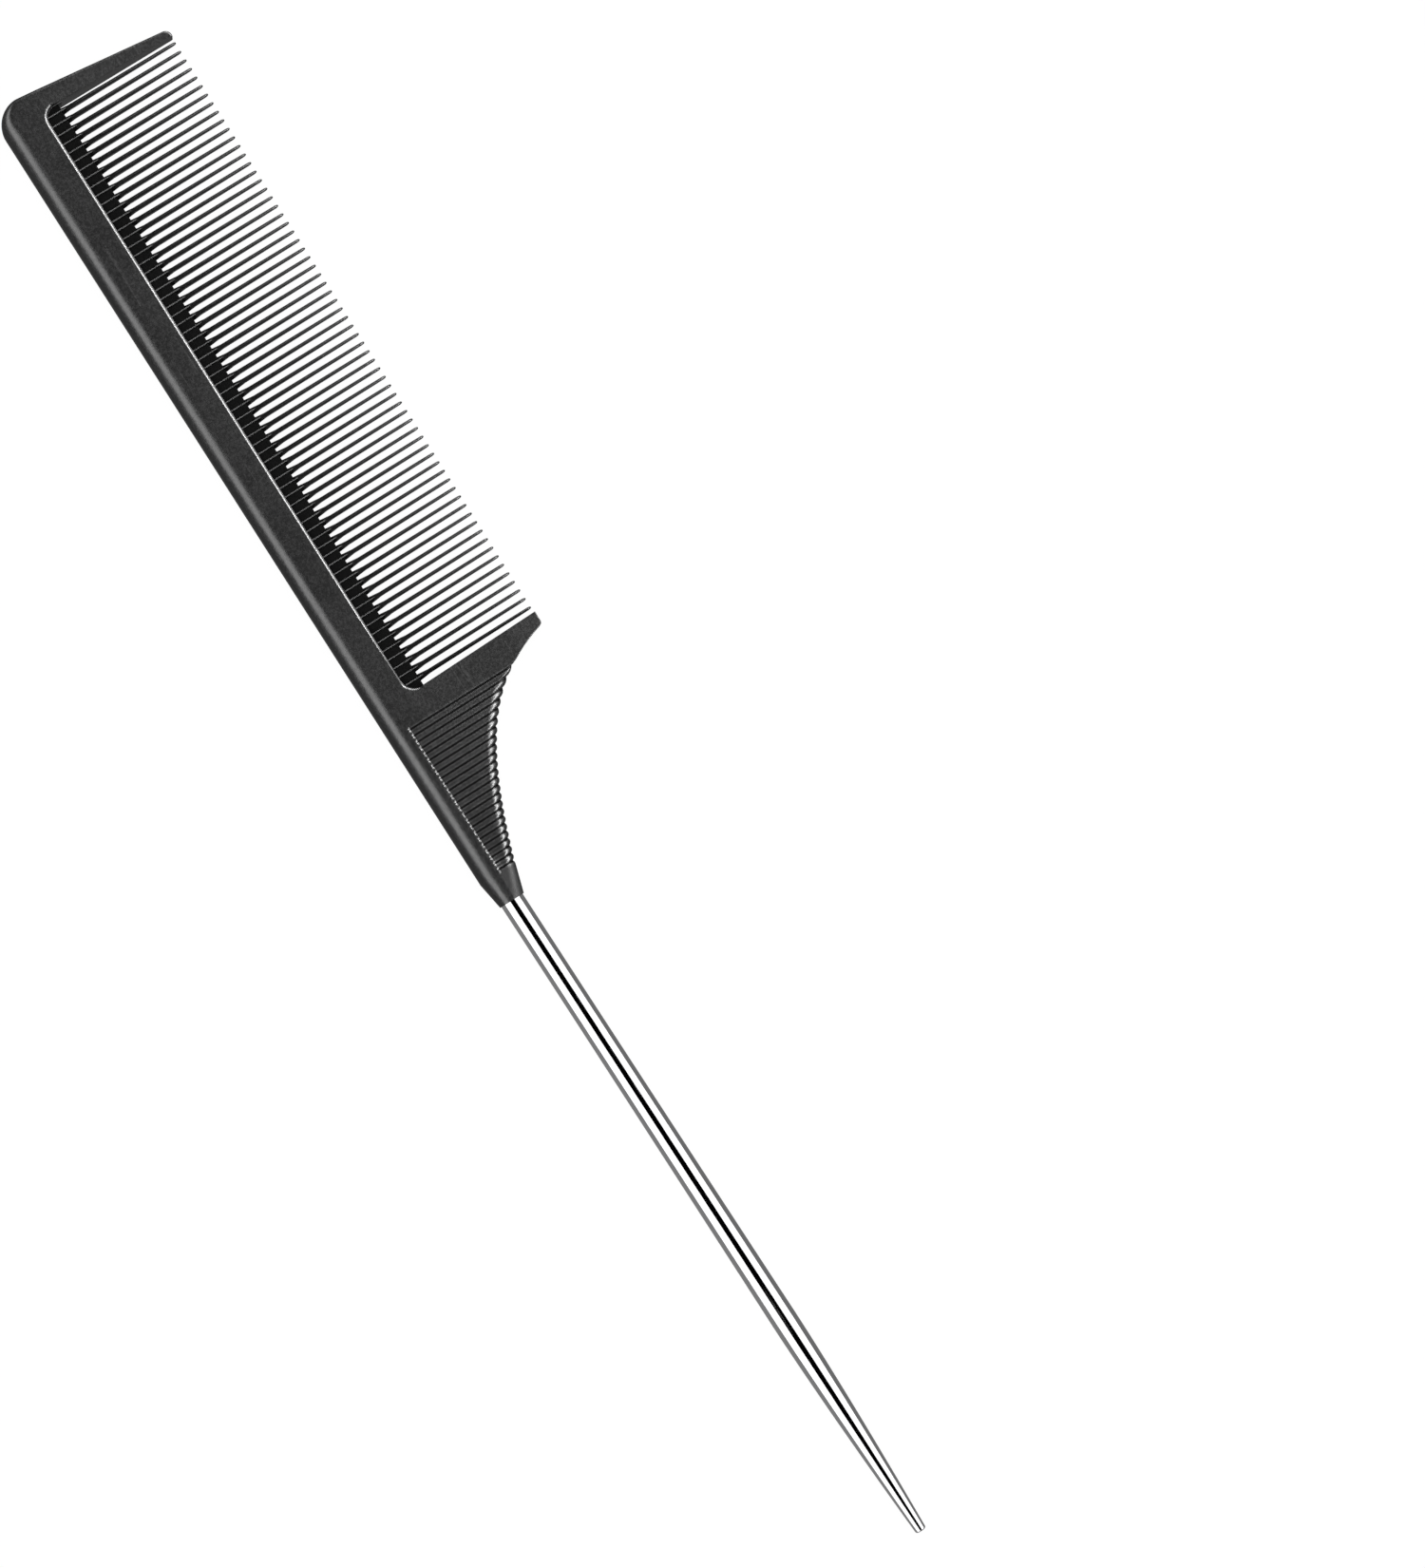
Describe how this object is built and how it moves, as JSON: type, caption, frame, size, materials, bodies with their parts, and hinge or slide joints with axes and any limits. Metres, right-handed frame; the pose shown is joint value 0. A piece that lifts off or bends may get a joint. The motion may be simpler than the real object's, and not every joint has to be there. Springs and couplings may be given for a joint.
{
  "type": "rat tail comb",
  "caption": "Fine-toothed styling comb with a ribbed finger grip and a long tapered steel tail for parting hair.",
  "frame": {"origin": "middle of the object's box, at its underside, where the comb lies flat", "axes": "+X along the back of the comb towards the tail's tip, +Y from the back towards the tooth tips, +Z out of the broad face"},
  "size_m": [0.235, 0.0274, 0.0052],
  "materials": {
    "body_plastic": "fine satin, grey-black",
    "tail_steel": "mirror-polished steel"
  },
  "bodies": {
    "root": {"comb_body": "body_plastic", "tail_pin": "tail_steel"}
  },
  "joints": []
}
